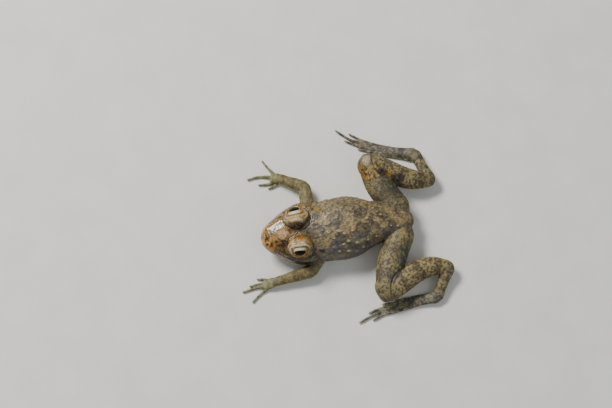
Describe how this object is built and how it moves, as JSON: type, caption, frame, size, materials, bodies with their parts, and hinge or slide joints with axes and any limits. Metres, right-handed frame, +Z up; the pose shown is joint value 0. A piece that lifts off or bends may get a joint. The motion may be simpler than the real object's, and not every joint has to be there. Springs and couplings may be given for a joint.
{
  "type": "frog figure",
  "caption": "Life-size still figure of an Indian skipper frog, lying flat on its belly with its head raised and its limbs spread.",
  "frame": {"origin": "on the floor at the flat of the belly, in the middle plane of the trunk", "axes": "-X towards the snout, +Y towards the frog's right side, +Z up from the floor"},
  "size_m": [0.0761, 0.0732, 0.0174],
  "materials": {
    "head_skin": "moist, glossy amphibian skin",
    "body_skin": "moist, satin amphibian skin",
    "eye": "wet, glossy"
  },
  "bodies": {
    "root": {"head": "head_skin", "tympanum_right": "head_skin", "tympanum_left": "head_skin", "eye_right": "eye", "eye_left": "eye", "torso": "body_skin", "upper_arm_right": "body_skin", "upper_arm_left": "body_skin", "forearm_right": "body_skin", "forearm_left": "body_skin", "hand_right": "body_skin", "hand_left": "body_skin", "thigh_right": "body_skin", "thigh_left": "body_skin", "shank_right": "body_skin", "shank_left": "body_skin", "tarsus_right": "body_skin", "tarsus_left": "body_skin", "foot_right": "body_skin", "foot_left": "body_skin"}
  },
  "joints": []
}
